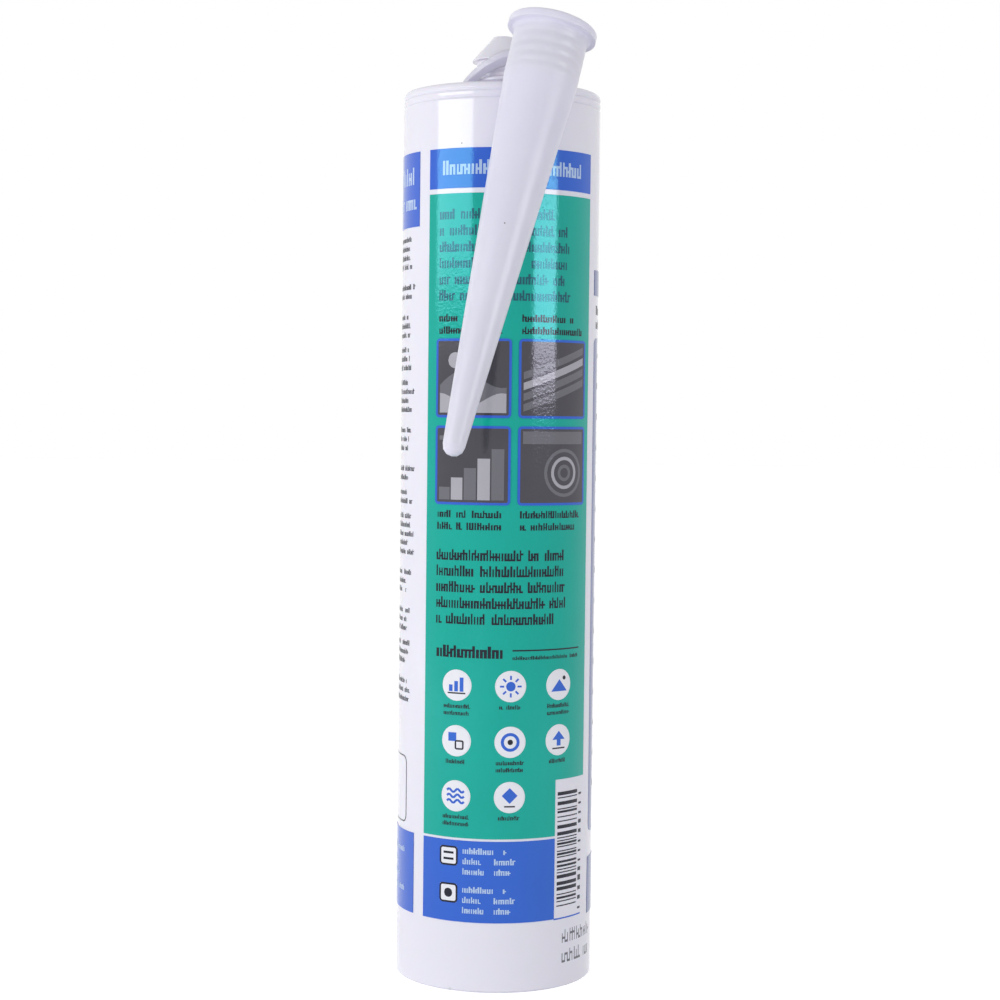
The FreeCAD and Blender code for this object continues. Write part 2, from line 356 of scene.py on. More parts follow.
def build_sink_group():
    """Return the group that puts out the height of a helical ripple."""
    tree, source, sink = new_group("Sink marks", {"Pitch": THREAD_PITCH, "Reach": SOCKET_DEPTH}, ("Height",))
    place = add_node(tree, "ShaderNodeTexCoord").outputs["Object"]
    own = add_node(
        tree, "ShaderNodeMapping",
        {"Vector": place, "Location": MOUTH, "Rotation": spout_turn.to_euler()}, vector_type="TEXTURE",
    )
    x, y, z = add_node(tree, "ShaderNodeSeparateXYZ", {0: own.outputs[0]}).outputs
    turn = math_step(tree, "ARCTAN2", y, x)
    waves = math_step(tree, "MULTIPLY", math_step(tree, "DIVIDE", z, source.outputs["Pitch"]), 2 * math.pi)
    ripple = math_step(tree, "SINE", math_step(tree, "SUBTRACT", waves, turn))
    depth = math_step(tree, "DIVIDE", math_step(tree, "MULTIPLY", z, -1.0), source.outputs["Reach"])
    rise = add_node(tree, "ShaderNodeMapRange", {"Value": depth, "From Min": 0.1, "From Max": 0.25})
    fall = add_node(tree, "ShaderNodeMapRange", {"Value": depth, "From Min": 1.05, "From Max": 0.9})
    mask = math_step(tree, "MULTIPLY", rise.outputs[0], fall.outputs[0])
    tree.links.new(math_step(tree, "MULTIPLY", ripple, mask), sink.inputs["Height"])
    return tree


sink_group = build_sink_group()
print("spout's mouth at", tuple(round(v, 4) for v in MOUTH))


# %% Make the spout's plastic
def make_spout_plastic():
    """Return the milky polyethylene of the spout, strap and ring."""
    material, tree, shader = new_material(
        "milky polyethylene", (0.68, 0.67, 0.80), 0.24,
        Subsurface_Weight=0.6, Subsurface_Scale=0.003, Specular_IOR_Level=0.5, IOR=1.51,
    )
    shader.inputs["Subsurface Radius"].default_value = (1.0, 0.95, 1.1)
    skin = use_group(tree, skin_group, {"Peel Scale": 240.0, "Scuff Scale": 40.0, "Cloud Scale": 45.0})
    marks = use_group(tree, sink_group)
    color = tint_by(tree, skin.outputs["Cloud"], (0.68, 0.665, 0.80), (0.77, 0.755, 0.885))
    color = with_speck(tree, color, SPOUT_SPECK, 0.22 * MM)
    tree.links.new(color, shader.inputs["Base Color"])
    tree.links.new(rough_by(tree, skin.outputs["Scuffs"], 0.32, 0.45), shader.inputs["Roughness"])
    faint_peel = math_step(tree, "MULTIPLY", skin.outputs["Height"], 0.5)
    faint_marks = math_step(tree, "MULTIPLY", marks.outputs["Height"], 0.42)
    peel_bump(tree, shader, math_step(tree, "ADD", faint_peel, faint_marks), 0.5, 0.0003, SOFT_EDGE)
    return material


spout_plastic = make_spout_plastic()
dress(frame["nodes"]["nozzle"], spout_plastic)
print("spout plastic nodes:", len(spout_plastic.node_tree.nodes))


# %% [markdown]
# ## The piston's plastic
#
# The piston is plain natural polyethylene, seen only from below. It is duller
# than the tube, because nothing polishes it and no ink covers it.

# %% Make the piston's plastic
def make_piston_plastic():
    """Return the dull polyethylene of the piston."""
    material, tree, shader = new_material(
        "piston polyethylene", (0.74, 0.74, 0.72), 0.4, Subsurface_Weight=0.15, Subsurface_Scale=0.002
    )
    skin = use_group(tree, skin_group, {"Peel Scale": 420.0, "Scuff Scale": 80.0, "Cloud Scale": 60.0})
    color = tint_by(tree, skin.outputs["Cloud"], (0.69, 0.69, 0.67), (0.78, 0.78, 0.76))
    tree.links.new(color, shader.inputs["Base Color"])
    tree.links.new(rough_by(tree, skin.outputs["Scuffs"], 0.36, 0.55), shader.inputs["Roughness"])
    peel_bump(tree, shader, skin.outputs["Height"], 0.3, 0.0003)
    return material


dress(frame["nodes"]["piston"], make_piston_plastic())


# %% [markdown]
# ## Running a geometry tree
#
# Geometry Nodes make what repeats or follows a path. A tree is run once on an
# empty object, and its result is taken as a plain mesh. A modifier's inputs
# are set by the identifier of their socket, before the first evaluation.

# %% Helpers for geometry trees
def geometry_inputs(tree, sockets):
    """Add the tree's named inputs and return their identifiers by name."""
    found = {}
    for name, kind, value in sockets:
        item = tree.interface.new_socket(name, in_out="INPUT", socket_type=kind)
        if value is not None:
            item.default_value = value
        found[name] = item.identifier
    tree.interface.new_socket("Geometry", in_out="OUTPUT", socket_type="NodeSocketGeometry")
    return found


def grow(name, tree, ids, values):
    """Run a geometry tree once and return its result as a mesh."""
    holder = bpy.data.objects.new(name, bpy.data.meshes.new(name))
    bpy.context.scene.collection.objects.link(holder)
    modifier = holder.modifiers.new("grow", "NODES")
    modifier.node_group = tree
    for label, value in values.items():
        modifier[ids[label]] = value
    bpy.context.view_layer.update()
    grown = holder.evaluated_get(bpy.context.evaluated_depsgraph_get())
    mesh = bpy.data.meshes.new_from_object(grown)
    bpy.data.objects.remove(holder)
    return mesh


# %% [markdown]
# ## The thread inside the socket
#
# The socket screws onto the tube's neck, so it has a thread inside. It could
# be cut as a solid, but it is a fine detail that follows a path, so a geometry
# tree sweeps a small round ridge along a helix. The ridge is half sunk in the
# wall, and only its inner half shows.

# %% Build the thread's tree
THREAD_INPUTS = (
    ("Turns", "NodeSocketFloat", 3.0),
    ("Radius", "NodeSocketFloat", 0.0076),
    ("Height", "NodeSocketFloat", 0.008),
    ("Ridge", "NodeSocketFloat", 0.0005),
    ("Plastic", "NodeSocketMaterial", None),
)
POINTS_PER_TURN = 48
RIDGE_SIDES = 8


def build_thread_tree():
    """Return the tree that sweeps a ridge along a helix, and its inputs."""
    tree = bpy.data.node_groups.new("Inner thread", "GeometryNodeTree")
    ids = geometry_inputs(tree, THREAD_INPUTS)
    get = tree.nodes.new("NodeGroupInput").outputs
    helix = add_node(
        tree, "GeometryNodeCurveSpiral",
        {
            "Resolution": POINTS_PER_TURN, "Rotations": get["Turns"], "Start Radius": get["Radius"],
            "End Radius": get["Radius"], "Height": get["Height"],
        },
    )
    ridge = add_node(
        tree, "GeometryNodeCurvePrimitiveCircle", {"Resolution": RIDGE_SIDES, "Radius": get["Ridge"]}
    )
    swept = add_node(
        tree, "GeometryNodeCurveToMesh",
        {"Curve": helix.outputs[0], "Profile Curve": ridge.outputs[0], "Fill Caps": True},
    )
    solid = add_node(tree, "GeometryNodeRealizeInstances", {"Geometry": swept.outputs[0]})
    done = add_node(
        tree, "GeometryNodeSetMaterial", {"Geometry": solid.outputs[0], "Material": get["Plastic"]}
    )
    tree.links.new(done.outputs[0], tree.nodes.new("NodeGroupOutput").inputs[0])
    return tree, ids


thread_tree, THREAD_IDS = build_thread_tree()
THREAD_LEAD = 2.2 * MM
thread_reach = SOCKET_DEPTH - 2 * THREAD_LEAD
thread_mesh = grow(
    "socket_thread", thread_tree, THREAD_IDS,
    {
        "Turns": thread_reach / THREAD_PITCH, "Radius": SOCKET_BORE, "Height": thread_reach,
        "Ridge": 0.55 * MM, "Plastic": spout_plastic,
    },
)
deepest = Matrix.Translation(MOUTH - MOUTHWARD * (SOCKET_DEPTH - THREAD_LEAD))
thread_mesh.transform(deepest @ spout_turn.to_matrix().to_4x4())
thread = bpy.data.objects.new("socket_thread", thread_mesh)
bpy.context.scene.collection.objects.link(thread)
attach(thread, "spout")
print("thread faces", len(thread_mesh.polygons))


# %% [markdown]
# ## The paste
#
# The paste fills the tube from the piston to the neck. As the piston rises,
# the wide column gets shorter, and the plug of paste in the neck stays. So the
# solid is cut at the head's underside into two pieces, the column and the plug,
# and the column gets a mesh of its own.

# %% Cut the paste in two
def level_under_head():
    """Return the height of the flat ring where the wide column ends."""
    corners = [v.co for v in frame["nodes"]["sealant"].data.vertices]
    return max(c.z for c in corners if math.hypot(c.x, c.y) > 0.5 * TUBE_RADIUS)


def cut_paste(name, level, above):
    """Return the part of the paste above or below a level, closed at the cut."""
    shape = bmesh.new()
    shape.from_mesh(frame["nodes"]["sealant"].data)
    bmesh.ops.remove_doubles(shape, verts=shape.verts, dist=0.001 * MM)
    cut = bmesh.ops.bisect_plane(
        shape, geom=shape.verts[:] + shape.edges[:] + shape.faces[:], dist=0.001 * MM,
        plane_co=(0, 0, level), plane_no=(0, 0, 1), clear_inner=above, clear_outer=not above,
    )
    edges = [e for e in cut["geom_cut"] if isinstance(e, bmesh.types.BMEdge)]
    bmesh.ops.holes_fill(shape, edges=[e for e in edges if e.is_boundary])
    bmesh.ops.recalc_face_normals(shape, faces=shape.faces)
    mesh = bpy.data.meshes.new(name)
    shape.to_mesh(mesh)
    shape.free()
    piece = bpy.data.objects.new(name, mesh)
    bpy.context.scene.collection.objects.link(piece)
    return piece


paste_material, paste_tree, paste_shader = new_material(
    "white paste", (0.86, 0.86, 0.84), 0.45, Subsurface_Weight=0.2, Subsurface_Scale=0.003
)
paste_skin = use_group(paste_tree, skin_group, {"Peel Scale": 300.0})
peel_bump(paste_tree, paste_shader, paste_skin.outputs["Height"], 0.3, 0.0005)
UNDER_HEAD = level_under_head()
column = cut_paste("paste_column", UNDER_HEAD, above=False)
plug = cut_paste("paste_plug", UNDER_HEAD, above=True)
for piece in (column, plug):
    dress(piece, paste_material)
    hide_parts("sealant")
    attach(piece, "cartridge")
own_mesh(column)


# %% [markdown]
# ## Rows of small print
#
# The panels carry rows of small print. At arm's length a row is a line of
# short dark strokes with gaps between words, so strokes are what is made, and
# no letters. A geometry tree lays out a grid of points, thins it at random for
# the gaps and the ragged right edge, puts a tall or a low stroke on each point,
# joins some strokes with a short cross bar, and wraps the flat block round the
# tube. Every block of print reuses the same tree with its own sizes and seed.

# %% Build the tree for a block of strokes
ROW_INPUTS = (
    ("Strokes", "NodeSocketInt", 20),
    ("Rows", "NodeSocketInt", 4),
    ("Stroke Pitch", "NodeSocketFloat", 0.0007),
    ("Row Pitch", "NodeSocketFloat", 0.0037),
    ("Stroke Width", "NodeSocketFloat", 0.0004),
    ("Stroke Height", "NodeSocketFloat", 0.0022),
    ("Depth", "NodeSocketFloat", 0.0001),
    ("Left", "NodeSocketFloat", 0.0),
    ("Top", "NodeSocketFloat", 0.1),
    ("Radius", "NodeSocketFloat", 0.02),
    ("Lift", "NodeSocketFloat", 0.0),
    ("Shortest Row", "NodeSocketFloat", 0.75),
    ("Word Gap", "NodeSocketFloat", 0.12),
    ("Seed", "NodeSocketInt", 1),
    ("Ink", "NodeSocketMaterial", None),
)
FIRST_GAP = 1.5
LOW_STROKES = 0.72
LOW_SHARE = 0.72
THINNEST = 0.6
CROSS_BARS = 0.55
CROSS_BAR_SHARE = 0.17
ROW_KEYS = 500.0


def build_rows_tree():
    """Return the tree that makes a wrapped block of strokes, and its inputs."""
    tree = bpy.data.node_groups.new("Rows of print", "GeometryNodeTree")
    ids = geometry_inputs(tree, ROW_INPUTS)
    get = tree.nodes.new("NodeGroupInput").outputs

    def step(operation, first, second=0.0):
        return math_step(tree, operation, first, second)

    def chance(key, shift, low=0.0):
        seed = step("ADD", get["Seed"], shift)
        node = add_node(tree, "FunctionNodeRandomValue", {2: low, "ID": key, "Seed": seed}, data_type="FLOAT")
        return node.outputs[1]

    wide = step("MULTIPLY", step("SUBTRACT", get["Strokes"], 1.0), get["Stroke Pitch"])
    tall = step("MULTIPLY", step("SUBTRACT", get["Rows"], 1.0), get["Row Pitch"])
    grid = add_node(
        tree, "GeometryNodeMeshGrid",
        {"Size X": wide, "Size Y": tall, "Vertices X": get["Strokes"], "Vertices Y": get["Rows"]},
    )
    index = tree.nodes.new("GeometryNodeInputIndex").outputs[0]
    row = step("MODULO", index, get["Rows"])
    column = step("FLOOR", step("DIVIDE", index, get["Rows"]))
    pair = step("ADD", step("FLOOR", step("DIVIDE", column, 2.0)), step("MULTIPLY", row, ROW_KEYS))
    row_end = step("MULTIPLY", chance(row, 0.0, get["Shortest Row"]), get["Strokes"])
    past_end = step("GREATER_THAN", column, row_end)
    past_first = step("GREATER_THAN", column, FIRST_GAP)
    word_gap = step("MULTIPLY", step("LESS_THAN", chance(pair, 100.0), get["Word Gap"]), past_first)
    left_out = step("MAXIMUM", past_end, word_gap)

    def put_bars(width, height, aside, up, selection):
        """Put a bar of one size, moved by an offset, on each point that isn't left out."""
        size = add_node(tree, "ShaderNodeCombineXYZ", {0: width, 1: height, 2: get["Depth"]})
        shift = add_node(tree, "ShaderNodeCombineXYZ", {0: aside, 1: up})
        sized = add_node(
            tree, "GeometryNodeStoreNamedAttribute",
            {"Geometry": grid.outputs["Mesh"], "Name": "size", "Value": size.outputs[0]},
            data_type="FLOAT_VECTOR",
        )
        seated = add_node(
            tree, "GeometryNodeSetPosition", {"Geometry": sized.outputs[0], "Offset": shift.outputs[0]}
        )
        kept = add_node(
            tree, "GeometryNodeDeleteGeometry", {"Geometry": seated.outputs[0], "Selection": selection}
        )
        own = add_node(tree, "GeometryNodeInputNamedAttribute", {"Name": "size"}, data_type="FLOAT_VECTOR")
        bar = add_node(tree, "GeometryNodeMeshCube", {"Size": (1.0, 1.0, 1.0)})
        return add_node(
            tree, "GeometryNodeInstanceOnPoints",
            {"Points": kept.outputs[0], "Instance": bar.outputs["Mesh"], "Scale": own.outputs[0]},
        )

    is_low = step("LESS_THAN", chance(index, 300.0), LOW_STROKES)
    share = step("SUBTRACT", 1.0, step("MULTIPLY", is_low, 1.0 - LOW_SHARE))
    height = step("MULTIPLY", get["Stroke Height"], share)
    drop = step("MULTIPLY", step("SUBTRACT", height, get["Stroke Height"]), 0.5)
    width = step("MULTIPLY", get["Stroke Width"], chance(index, 400.0, THINNEST))
    strokes = put_bars(width, height, 0.0, drop, left_out)

    no_bar = step("MAXIMUM", left_out, step("GREATER_THAN", chance(index, 500.0), CROSS_BARS))
    thick = step("MULTIPLY", get["Stroke Height"], CROSS_BAR_SHARE)
    shelf = step("FLOOR", step("MULTIPLY", chance(index, 600.0), 3.0))
    room = step("SUBTRACT", step("MULTIPLY", get["Stroke Height"], LOW_SHARE), thick)
    lowest = step("SUBTRACT", step("MULTIPLY", thick, 0.5), step("MULTIPLY", get["Stroke Height"], 0.5))
    up = step("ADD", lowest, step("MULTIPLY", step("MULTIPLY", shelf, 0.5), room))
    aside = step("MULTIPLY", get["Stroke Pitch"], 0.5)
    cross_bars = put_bars(get["Stroke Pitch"], thick, aside, up, no_bar)

    both = tree.nodes.new("GeometryNodeJoinGeometry")
    for bars in (strokes, cross_bars):
        tree.links.new(bars.outputs[0], both.inputs[0])
    solid = add_node(tree, "GeometryNodeRealizeInstances", {"Geometry": both.outputs[0]})

    spot = tree.nodes.new("GeometryNodeInputPosition").outputs[0]
    x, y, z = add_node(tree, "ShaderNodeSeparateXYZ", {0: spot}).outputs
    along = step("ADD", step("ADD", x, step("MULTIPLY", wide, 0.5)), get["Left"])
    level = step("ADD", step("SUBTRACT", y, step("MULTIPLY", tall, 0.5)), get["Top"])
    reach = step("ADD", step("ADD", z, get["Radius"]), get["Lift"])
    turn = step("DIVIDE", along, get["Radius"])
    across = step("MULTIPLY", reach, step("SINE", turn))
    ahead = step("MULTIPLY", step("MULTIPLY", reach, -1.0), step("COSINE", turn))
    place = add_node(tree, "ShaderNodeCombineXYZ", {0: across, 1: ahead, 2: level})
    wrapped = add_node(
        tree, "GeometryNodeSetPosition", {"Geometry": solid.outputs[0], "Position": place.outputs[0]}
    )
    inked = add_node(
        tree, "GeometryNodeSetMaterial", {"Geometry": wrapped.outputs[0], "Material": get["Ink"]}
    )
    tree.links.new(inked.outputs[0], tree.nodes.new("NodeGroupOutput").inputs[0])
    return tree, ids


rows_tree, ROW_IDS = build_rows_tree()
print("rows tree nodes:", len(rows_tree.nodes))


# %% [markdown]
# ## Flat shapes on a curved tube
#
# Icons, borders, rules and the bars of a bar code are flat shapes wrapped
# round the tube. Two tools make them all. A fill is described by its lower and
# upper edge as it goes round, and is built as a row of thin closed slices. A
# line follows a path with a constant width. Both are a little sunk in what
# they lie on, so no gap shows from the side.

# %% Build fills and lines
STEP = 1.2 * MM
SUNK = 0.06 * MM
PROUD = 0.02 * MM
ON_TUBE = PROUD
ON_FIELD = INK + PROUD
ON_TILE = 2 * INK + PROUD


class Print:
    """Collects wrapped shapes of one ink into one mesh."""

    def __init__(self, name, ink, slot, lift=ON_FIELD):
        self.name = name
        self.ink = ink
        self.slot = slot
        self.lift = lift
        self.shape = bmesh.new()

    def ring(self, near, far):
        """Return the four corners of a slice between two flat places."""
        bottom, top = self.lift - 2 * SUNK, self.lift
        corners = ((near, bottom), (far, bottom), (far, top), (near, top))
        return [self.shape.verts.new(on_tube(along, height, lift)) for (along, height), lift in corners]

    def skin_over(self, rings, closed=False):
        """Join the slices' corners with faces."""
        following = rings[1:] + rings[:1] if closed else rings[1:]
        for near, far in zip(rings, following):
            for k in range(4):
                n = (k + 1) % 4
                self.shape.faces.new((near[k], near[n], far[n], far[k]))
        if not closed:
            self.shape.faces.new(tuple(reversed(rings[0])))
            self.shape.faces.new(rings[-1])

    def fill(self, start, end, lower, upper, steps=None):
        """Add a shape between two places round the tube, from its two edges."""
        count = steps or max(1, math.ceil((end - start) / STEP))
        rings = []
        for index in range(count + 1):
            along = start + (end - start) * index / count
            low = lower(along)
            rings.append(self.ring((along, low), (along, max(upper(along), low + 0.001 * MM))))
        self.skin_over(rings)

    def block(self, start, end, low, high):
        """Add a plain field."""
        self.fill(start, end, lambda a: low, lambda a: high)

    def disc(self, centre, middle, radius):
        """Add a round field."""
        def half(along):
            return math.sqrt(max(radius ** 2 - (along - centre) ** 2, 0.0))
        self.fill(centre - radius, centre + radius, lambda a: middle - half(a), lambda a: middle + half(a), 16)

    def line(self, path, width, closed=False):
        """Add a line of constant width along a path."""
        points = [Vector(point) for point in path]
        rings = []
        for index, point in enumerate(points):
            before = points[index - 1] if index or closed else point
            after = points[(index + 1) % len(points)] if index + 1 < len(points) or closed else point
            way = (after - before).normalized()
            side = Vector((-way.y, way.x)) * (width / 2)
            rings.append(self.ring(tuple(point - side), tuple(point + side)))
        self.skin_over(rings, closed)

    def rows(self, left, right, top, count, pitch, stroke, height, seed, shortest=0.75, bold=0.74, gap=0.12):
        """Add one block of rows of strokes."""
        mesh = grow(
            self.name + "_rows", rows_tree, ROW_IDS,
            {
                "Strokes": max(2, round((right - left) / stroke)), "Rows": count, "Stroke Pitch": stroke,
                "Row Pitch": pitch, "Stroke Width": stroke * bold, "Stroke Height": height,
                "Depth": 2 * SUNK, "Left": left, "Top": top, "Radius": TUBE_RADIUS,
                "Lift": self.lift - SUNK, "Shortest Row": shortest, "Word Gap": gap, "Seed": seed,
                "Ink": self.ink,
            },
        )
        self.shape.from_mesh(mesh)
        bpy.data.meshes.remove(mesh)

    def finish(self):
        """Turn what was collected into one piece that rides on the tube."""
        bmesh.ops.recalc_face_normals(self.shape, faces=self.shape.faces)
        mesh = bpy.data.meshes.new(self.name)
        self.shape.to_mesh(mesh)
        self.shape.free()
        piece = bpy.data.objects.new(self.name, mesh)
        bpy.context.scene.collection.objects.link(piece)
        dress(piece, self.ink)
        mesh.polygons.foreach_set("material_index", [0] * len(mesh.polygons))
        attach(piece, "cartridge")
        print(self.name, "faces", len(mesh.polygons))


def straight(start, end):
    """Return a straight path between two flat places, short steps apart."""
    start, end = Vector(start), Vector(end)
    count = max(1, math.ceil((end - start).length / STEP))
    return [start.lerp(end, index / count) for index in range(count + 1)]


def round_box(start, end, low, high, corner):
    """Return a closed path round a field with round corners."""
    centres = ((end - corner, high - corner), (start + corner, high - corner),
               (start + corner, low + corner), (end - corner, low + corner))
    corners = []
    for index, (x, z) in enumerate(centres):
        turns = [math.radians(90 * index + 18 * part) for part in range(6)]
        corners.append([Vector((x + corner * math.cos(t), z + corner * math.sin(t))) for t in turns])
    path = []
    for index, points in enumerate(corners):
        path += points + straight(points[-1], corners[(index + 1) % 4][0])[1:-1]
    return path


def round_path(centre, middle, radius, count=20):
    """Return a closed path round a circle."""
    turns = [2 * math.pi * index / count for index in range(count)]
    return [Vector((centre + radius * math.cos(t), middle + radius * math.sin(t))) for t in turns]


# %% [markdown]
# ## The front panel's print
#
# The panel has a title band, a paragraph, four tiles with captions, a second
# paragraph, a heading with a rule, eight round icons and a foot band. The tube
# shows plain strokes, fields and figures in their places.

# %% Place the layout's main lines
TEXT_LEFT = arc(-36.5)
TEXT_RIGHT = arc(50.0)
TILE_COLUMNS = ((arc(-37.7), arc(5.9)), (arc(11.3), arc(56.9)))
TILE_BASES = (117.7 * MM, 138.5 * MM)
TILE_HEIGHT = 18.3 * MM
DISC_COLUMNS = (arc(-23.0), arc(8.1), arc(38.3))
DISC_ROWS = (74.1 * MM, 60.7 * MM, 47.4 * MM)
DISC_RADIUS = 3.5 * MM
HEADING = 82.2 * MM

# %% Print the first paragraph
paragraph = Print("paragraph_print", slate_ink, "dark_ink")
paragraph.rows(TEXT_LEFT, arc(43), 186.7 * MM, 6, 3.87 * MM, 0.72 * MM, 2.5 * MM, 3, 0.84)
paragraph.finish()

# %% Print the captions, the second paragraph and the heading
captions = Print("caption_print", black_ink, "dark_ink")
for column, (left, right) in enumerate(TILE_COLUMNS):
    caption = {"left": left + 0.6 * MM, "right": right - 0.5 * MM, "count": 2, "pitch": 2.9 * MM}
    caption.update(stroke=0.66 * MM, height=1.75 * MM)
    captions.rows(top=162.0 * MM, seed=11 + column, **caption)
    captions.rows(top=115.2 * MM, seed=21 + column, **caption)
captions.rows(TEXT_LEFT, TEXT_RIGHT, 105.4 * MM, 5, 3.82 * MM, 0.72 * MM, 2.6 * MM, 31, 0.88)
captions.rows(TEXT_LEFT + 0.4 * MM, arc(5.2), HEADING, 1, 3 * MM, 0.95 * MM, 2.9 * MM, 41, 1.0, 0.88, 0.0)
captions.block(arc(8.8), arc(54.5), HEADING + 0.3 * MM, HEADING + 0.65 * MM)
captions.rows(arc(9.2), arc(54), HEADING - 1.3 * MM, 1, 3 * MM, 0.42 * MM, 0.9 * MM, 42, 1.0)
for row, middle in enumerate(DISC_ROWS):
    for column, centre in enumerate(DISC_COLUMNS):
        if (row, column) != (2, 2):
            lines = 1 + (row + column + 1) % 2
            wide = (3.3 if lines > 1 else 2.6) * MM
            top = middle - DISC_RADIUS - 1.5 * MM
            captions.rows(
                centre - wide, centre + wide, top, lines, 1.7 * MM, 0.42 * MM, 1.05 * MM,
                50 + row * 3 + column, 1.0, gap=0.05,
            )
captions.finish()

# %% [markdown]
# ### Tiles
#
# The four tiles are dark fields with a thin blue border. Each holds a plain
# figure in greys: layered hills, rings, slanted bands and steps.

# %% Print the tiles' borders
borders = Print("tile_border_print", blue_ink, "blue_ink", ON_TILE)
for left, right in TILE_COLUMNS:
    for base in TILE_BASES:
        path = round_box(left, right, base, base + TILE_HEIGHT, 0.7 * MM)
        borders.line(path, 0.6 * MM, closed=True)
borders.finish()

# %% Print the tiles' figures
INSET = 0.9 * MM
mid_greys = Print("tile_mid_grey_print", mid_grey_ink, "dark_ink", ON_TILE - 0.01 * MM)
light_greys = Print("tile_light_grey_print", light_grey_ink, "dark_ink", ON_TILE)


def hills(left, right, low, high):
    """Add two layers of hills and a sun."""
    def ridge(along):
        return low + 6.6 * MM + 2.6 * MM * math.sin((along - left) * 290) + (along - left) * 0.12
    mid_greys.fill(left, right, lambda a: low, ridge)
    light_greys.fill(left, right, lambda a: low, lambda a: low + 3.2 * MM + 1.5 * MM * math.cos((a - left) * 400))
    light_greys.disc(left + 4.2 * MM, high - 4.0 * MM, 1.9 * MM)


def rings(left, right, low, high):
    """Add concentric rings off the middle."""
    centre, middle = right - 6.3 * MM, low + 6.6 * MM
    for index in range(3):
        ink = light_greys if index % 2 else mid_greys
        ink.line(round_path(centre, middle, (1.6 + 1.9 * index) * MM, 28), 0.8 * MM, closed=True)
    mid_greys.block(left, right, high - 3.0 * MM, high)


def bands(left, right, low, high):
    """Add slanted bands."""
    slope = 0.36
    drop = slope * (right - left)
    width = (high - low - drop) / 4.0
    for index in range(4):
        ink = light_greys if index == 2 else mid_greys
        base = low + index * width
        ink.fill(
            left, right, lambda a, b=base: b + slope * (a - left) + 0.4 * MM,
            lambda a, b=base: b + slope * (a - left) + width - 0.4 * MM,
        )


def steps(left, right, low, high):
    """Add a flight of rising blocks."""
    count = 5
    wide = (right - left) / count
    for index in range(count):
        ink = light_greys if index % 2 else mid_greys
        start = left + index * wide
        ink.block(start, start + wide - 0.35 * MM, low, low + (3.0 + 2.3 * index) * MM)
    mid_greys.block(left, left + 6 * MM, high - 2.2 * MM, high - 1.2 * MM)


FIGURES = {(0, 0): steps, (0, 1): hills, (1, 0): rings, (1, 1): bands}
for column, (left, right) in enumerate(TILE_COLUMNS):
    for row, base in enumerate(TILE_BASES):
        draw = FIGURES[(column, row)]
        draw(left + INSET, right - INSET, base + INSET, base + TILE_HEIGHT - INSET)
mid_greys.finish()
light_greys.finish()

# %% [markdown]
# ### Round icons
#
# The eight white discs carry small figures, one each, drawn with the same
# fills and lines: bars, a sun, a hill, squares, a target, an arrow, waves and
# a diamond.

# %% Print the icons
icons = Print("icon_print", blue_ink, "blue_ink", ON_TILE)
marks = Print("icon_mark_print", black_ink, "dark_ink", ON_TILE)


def icon_bars(x, z):
    """Add three bars of rising height on a line."""
    for index in range(3):
        left = x + (index - 1.4) * 1.4 * MM
        icons.block(left, left + 0.95 * MM, z - 1.5 * MM, z + (0.1 + index * 0.9) * MM)
    marks.line(straight((x - 2.3 * MM, z - 1.9 * MM), (x + 2.3 * MM, z - 1.9 * MM)), 0.35 * MM)


def icon_sun(x, z):
    """Add a disc with short rays."""
    icons.disc(x, z, 1.15 * MM)
    for index in range(8):
        way = Vector((math.cos(math.pi * index / 4), math.sin(math.pi * index / 4)))
        centre = Vector((x, z))
        icons.line([centre + way * 1.6 * MM, centre + way * 2.6 * MM], 0.45 * MM)


def icon_hill(x, z):
    """Add a peak with a dot beside it."""
    icons.fill(x - 2.3 * MM, x + 2.3 * MM, lambda a: z - 1.6 * MM, lambda a: z + 1.3 * MM - abs(a - x) * 1.2, 8)
    marks.disc(x + 1.5 * MM, z + 1.6 * MM, 0.5 * MM)


def icon_squares(x, z):
    """Add two squares, corner to corner."""
    icons.block(x - 2.0 * MM, x + 0.1 * MM, z - 0.1 * MM, z + 2.0 * MM)
    marks.line(round_box(x - 0.1 * MM, x + 1.8 * MM, z - 1.9 * MM, z, 0.3 * MM), 0.4 * MM, closed=True)


def icon_target(x, z):
    """Add a ring with a dot in it."""
    icons.line(round_path(x, z, 1.9 * MM), 0.75 * MM, closed=True)
    marks.disc(x, z, 0.65 * MM)


def icon_arrow(x, z):
    """Add an arrow that points up from a line."""
    icons.fill(x - 1.9 * MM, x + 1.9 * MM, lambda a: z + 0.1 * MM, lambda a: z + 2.2 * MM - abs(a - x) * 1.1, 8)
    icons.block(x - 0.6 * MM, x + 0.6 * MM, z - 1.4 * MM, z + 0.3 * MM)
    marks.line(straight((x - 1.9 * MM, z - 2.0 * MM), (x + 1.9 * MM, z - 2.0 * MM)), 0.35 * MM)


def icon_waves(x, z):
    """Add three wavy lines."""
    for shift in (-1.3 * MM, 0.0, 1.3 * MM):
        places = [x + (index / 12 - 0.5) * 4.4 * MM for index in range(13)]
        icons.line([(a, z + shift + 0.4 * MM * math.sin((a - x) * 2850)) for a in places], 0.55 * MM)


def icon_diamond(x, z):
    """Add a diamond over a short line."""
    icons.fill(
        x - 1.9 * MM, x + 1.9 * MM, lambda a: z + 0.4 * MM - (1.9 * MM - abs(a - x)),
        lambda a: z + 0.4 * MM + (1.9 * MM - abs(a - x)), 8,
    )
    marks.line(straight((x - 1.3 * MM, z - 2.2 * MM), (x + 1.3 * MM, z - 2.2 * MM)), 0.35 * MM)


ICONS = ((icon_bars, icon_sun, icon_hill), (icon_squares, icon_target, icon_arrow), (icon_waves, icon_diamond))
for row, line_of_icons in enumerate(ICONS):
    for column, draw in enumerate(line_of_icons):
        draw(DISC_COLUMNS[column], DISC_ROWS[row])
icons.finish()
marks.finish()

